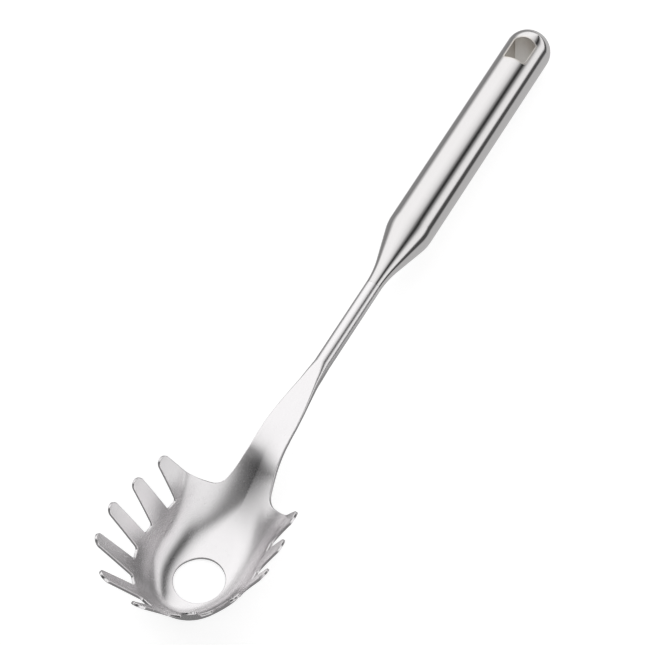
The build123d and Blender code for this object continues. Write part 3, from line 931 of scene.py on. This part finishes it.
def add_studio():
    """A studio of long soft panels, parallel to the server, in which the steel is mirrored.

    The light is panels(a) x front(a, y) x stand(a, y), with a = atan2(x, z) the angle round
    the server's length, and y the part of the direction along it. The camera sees white.
    """
    world = bpy.data.worlds.new("studio")
    world.use_nodes = True
    bpy.context.scene.world = world
    tree = world.node_tree
    tree.nodes.clear()
    place = add_node(tree, "ShaderNodeTexCoord")
    way = add_node(tree, "ShaderNodeSeparateXYZ", {"Vector": place.outputs["Generated"]}).outputs
    angle = add_node(tree, "ShaderNodeMath", {0: way["X"], 1: way["Z"]}, operation="ARCTAN2")
    turn = add_node(
        tree,
        "ShaderNodeMath",
        {0: angle.outputs["Value"], 1: 1 / (2 * pi), 2: 0.5},
        operation="MULTIPLY_ADD",
    )
    panels = add_node(
        tree, "ShaderNodeValToRGB", {"Fac": turn.outputs["Value"]}, by_angle(PANELS)
    )

    lengthwise = add_node(
        tree, "ShaderNodeMath", {0: way["Y"], 1: 0.5, 2: 0.5}, operation="MULTIPLY_ADD"
    )
    front_grey = add_node(
        tree, "ShaderNodeValToRGB", {"Fac": lengthwise.outputs["Value"]}, FRONT_WALL
    )
    front_shows = add_node(
        tree, "ShaderNodeValToRGB", {"Fac": turn.outputs["Value"]}, by_angle(FRONT_SHOWS)
    )
    front = add_node(
        tree,
        "ShaderNodeMix",
        {"Factor": front_shows.outputs["Color"], "A": 1.0, "B": front_grey.outputs["Color"]},
        data_type="FLOAT",
    )

    stand_angle = add_node(tree, "ShaderNodeMapRange", {"Value": way["Y"], **STAND_ANGLE})
    stand_width = add_node(tree, "ShaderNodeMapRange", {"Value": way["Y"], **STAND_WIDTH})
    beside = add_node(
        tree,
        "ShaderNodeMath",
        {0: angle.outputs["Value"], 1: stand_angle.outputs["Result"]},
        operation="SUBTRACT",
    )
    apart = add_node(tree, "ShaderNodeMath", {0: beside.outputs["Value"]}, operation="ABSOLUTE")
    share = add_node(
        tree,
        "ShaderNodeMath",
        {0: apart.outputs["Value"], 1: stand_width.outputs["Result"]},
        operation="DIVIDE",
    )
    stand = add_node(tree, "ShaderNodeValToRGB", {"Fac": share.outputs["Value"]}, STAND)

    panels_and_front = add_node(
        tree,
        "ShaderNodeMath",
        {0: panels.outputs["Color"], 1: front.outputs["Result"]},
        operation="MULTIPLY",
    )
    light = add_node(
        tree,
        "ShaderNodeMath",
        {0: panels_and_front.outputs["Value"], 1: stand.outputs["Color"]},
        operation="MULTIPLY",
    )
    lit = add_node(tree, "ShaderNodeBackground", {"Color": light.outputs["Value"]})
    white = add_node(tree, "ShaderNodeBackground", {"Color": (1, 1, 1, 1)})
    rays = add_node(tree, "ShaderNodeLightPath").outputs
    sees_white = add_node(
        tree,
        "ShaderNodeMath",
        {0: rays["Is Camera Ray"], 1: rays["Is Transmission Ray"]},
        operation="MAXIMUM",
    )
    seen = add_node(
        tree,
        "ShaderNodeMixShader",
        {0: sees_white.outputs[0], 1: lit.outputs[0], 2: white.outputs[0]},
    )
    add_node(tree, "ShaderNodeOutputWorld", {"Surface": seen.outputs[0]})


def by_x(stops):
    """Stops in millimetres of x as places on a ramp: x / width + 1/2."""
    return [(x / GLOW_WIDTH + 0.5, glow) for x, glow in stops]


def add_table():
    """A pale table: near white to the camera, with the server's shadow on it.

    It is a matt grey with a glow for the rays of the camera, of glossy and of transmitted
    light. In the steel the grey is darker and the glow is low beside the bowl and fades towards
    the handle: painted shadow in the reflections, which makes the steel's edges dark.
    """
    mesh = bpy.data.meshes.new("table")
    corners = [(-1, -1), (1, -1), (1, 1), (-1, 1)]
    mesh.from_pydata([(x * TABLE_HALF, y * TABLE_HALF, 0) for x, y in corners], [], [(0, 1, 2, 3)])
    table = bpy.data.objects.new("table", mesh)
    bpy.context.scene.collection.objects.link(table)
    # Matt laminate: an even pale grey with no mirror image to the camera; to the steel a darker
    # grey and a glow that fades near the server, painted shade in its reflections
    material = bpy.data.materials.new("matt_white_laminate_painted_shade")
    material.use_nodes = True
    tree = material.node_tree
    tree.nodes.clear()
    rays = add_node(tree, "ShaderNodeLightPath").outputs
    # A darker grey for glossy rays: painted shade in the steel's reflections
    grey = add_node(
        tree,
        "ShaderNodeMix",
        {"Factor": rays["Is Glossy Ray"], "A": linear(TABLE_GREY), "B": linear(TABLE_PAINTED_SHADE_IN_STEEL)},
        data_type="RGBA",
    )
    matt = add_node(tree, "ShaderNodeBsdfDiffuse", {"Color": grey.outputs["Result"]})

    place = add_node(tree, "ShaderNodeTexCoord")
    spot = add_node(tree, "ShaderNodeSeparateXYZ", {"Vector": place.outputs["Object"]}).outputs
    sideways = add_node(
        tree,
        "ShaderNodeMath",
        {0: spot["X"], 1: 1 / (GLOW_WIDTH * MM), 2: 0.5},
        operation="MULTIPLY_ADD",
    )
    # Glow for the steel by x, low beside the bowl and the handle: painted shadow in the
    # reflections
    painted_shadow_beside_handle, painted_shadow_beside_bowl = [
        add_node(tree, "ShaderNodeValToRGB", {"Fac": sideways.outputs["Value"]}, by_x(stops))
        for stops in (PAINTED_SHADOW_BESIDE_HANDLE, PAINTED_SHADOW_BESIDE_BOWL)
    ]
    mirrored = add_node(
        tree,
        "ShaderNodeMapRange",
        {
            "Value": spot["Y"],
            **BOWL_TO_HANDLE,
            "To Min": painted_shadow_beside_bowl.outputs["Color"],
            "To Max": painted_shadow_beside_handle.outputs["Color"],
        },
    )
    strength = add_node(
        tree,
        "ShaderNodeMix",
        {"Factor": rays["Is Camera Ray"], "A": mirrored.outputs["Result"], "B": TABLE_GLOW},
        data_type="FLOAT",
    )
    glow = add_node(
        tree, "ShaderNodeEmission", {"Color": (1, 1, 1, 1), "Strength": strength.outputs["Result"]}
    )
    glowing = add_node(tree, "ShaderNodeAddShader", {0: matt.outputs[0], 1: glow.outputs[0]})
    steel_or_camera = add_node(
        tree,
        "ShaderNodeMath",
        {0: rays["Is Camera Ray"], 1: rays["Is Glossy Ray"]},
        operation="MAXIMUM",
    )
    sees_glow = add_node(
        tree,
        "ShaderNodeMath",
        {0: steel_or_camera.outputs[0], 1: rays["Is Transmission Ray"]},
        operation="MAXIMUM",
    )
    seen = add_node(
        tree,
        "ShaderNodeMixShader",
        {0: sees_glow.outputs[0], 1: matt.outputs[0], 2: glowing.outputs[0]},
    )
    add_node(tree, "ShaderNodeOutputMaterial", {"Surface": seen.outputs[0]})
    mesh.materials.append(material)


def place_piece(piece, material, node):
    """Gives a piece its material, its body and the node it stands for."""
    piece.data.materials.append(material)
    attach(piece, "root")
    if node:
        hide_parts(node)


add_camera()
add_studio()
add_table()

# Rolled stainless steel, ground and brushed along its length: soft, wide reflections with
# fine streaks. The real strokes are some 0.05 mm apart; they are drawn 0.4 mm apart and
# 6 mm long, which is as fine as shows.
head_steel = steel("brushed_stainless_steel", "f0eeef", (2500, 160, 2500), 0.24, 0.004)
# Stainless steel tube, turned on a polishing belt: sharp long reflections, and strokes
# round the handle, drawn 0.4 mm apart and 8 mm long.
handle_steel = steel("satin_polished_stainless_steel", "e6e4e4", (120, 2600, 120), 0.11, 0.012)
# Drawn stainless steel tube, left as it comes from the die: an even grey with no mirror
# image, and a grain of 2.5 mm.
sleeve_steel = steel("drawn_stainless_steel", "e8e4df", (400, 400, 400), 0.38, 0.005)

place_piece(make_server_head(), head_steel, "server_head")
place_piece(make_handle_nose(), handle_steel, "handle_nose")
place_piece(make_handle_tube(), handle_steel, "handle_tube")
cap_dome, cap_barrel = make_end_cap()
place_piece(cap_dome, handle_steel, "end_cap")
place_piece(cap_barrel, handle_steel, None)
place_piece(make_eye_sleeve(), sleeve_steel, "eye_sleeve")

# A plain view, so that the greys given above are the ones that are seen
bpy.context.scene.view_settings.view_transform = "Standard"
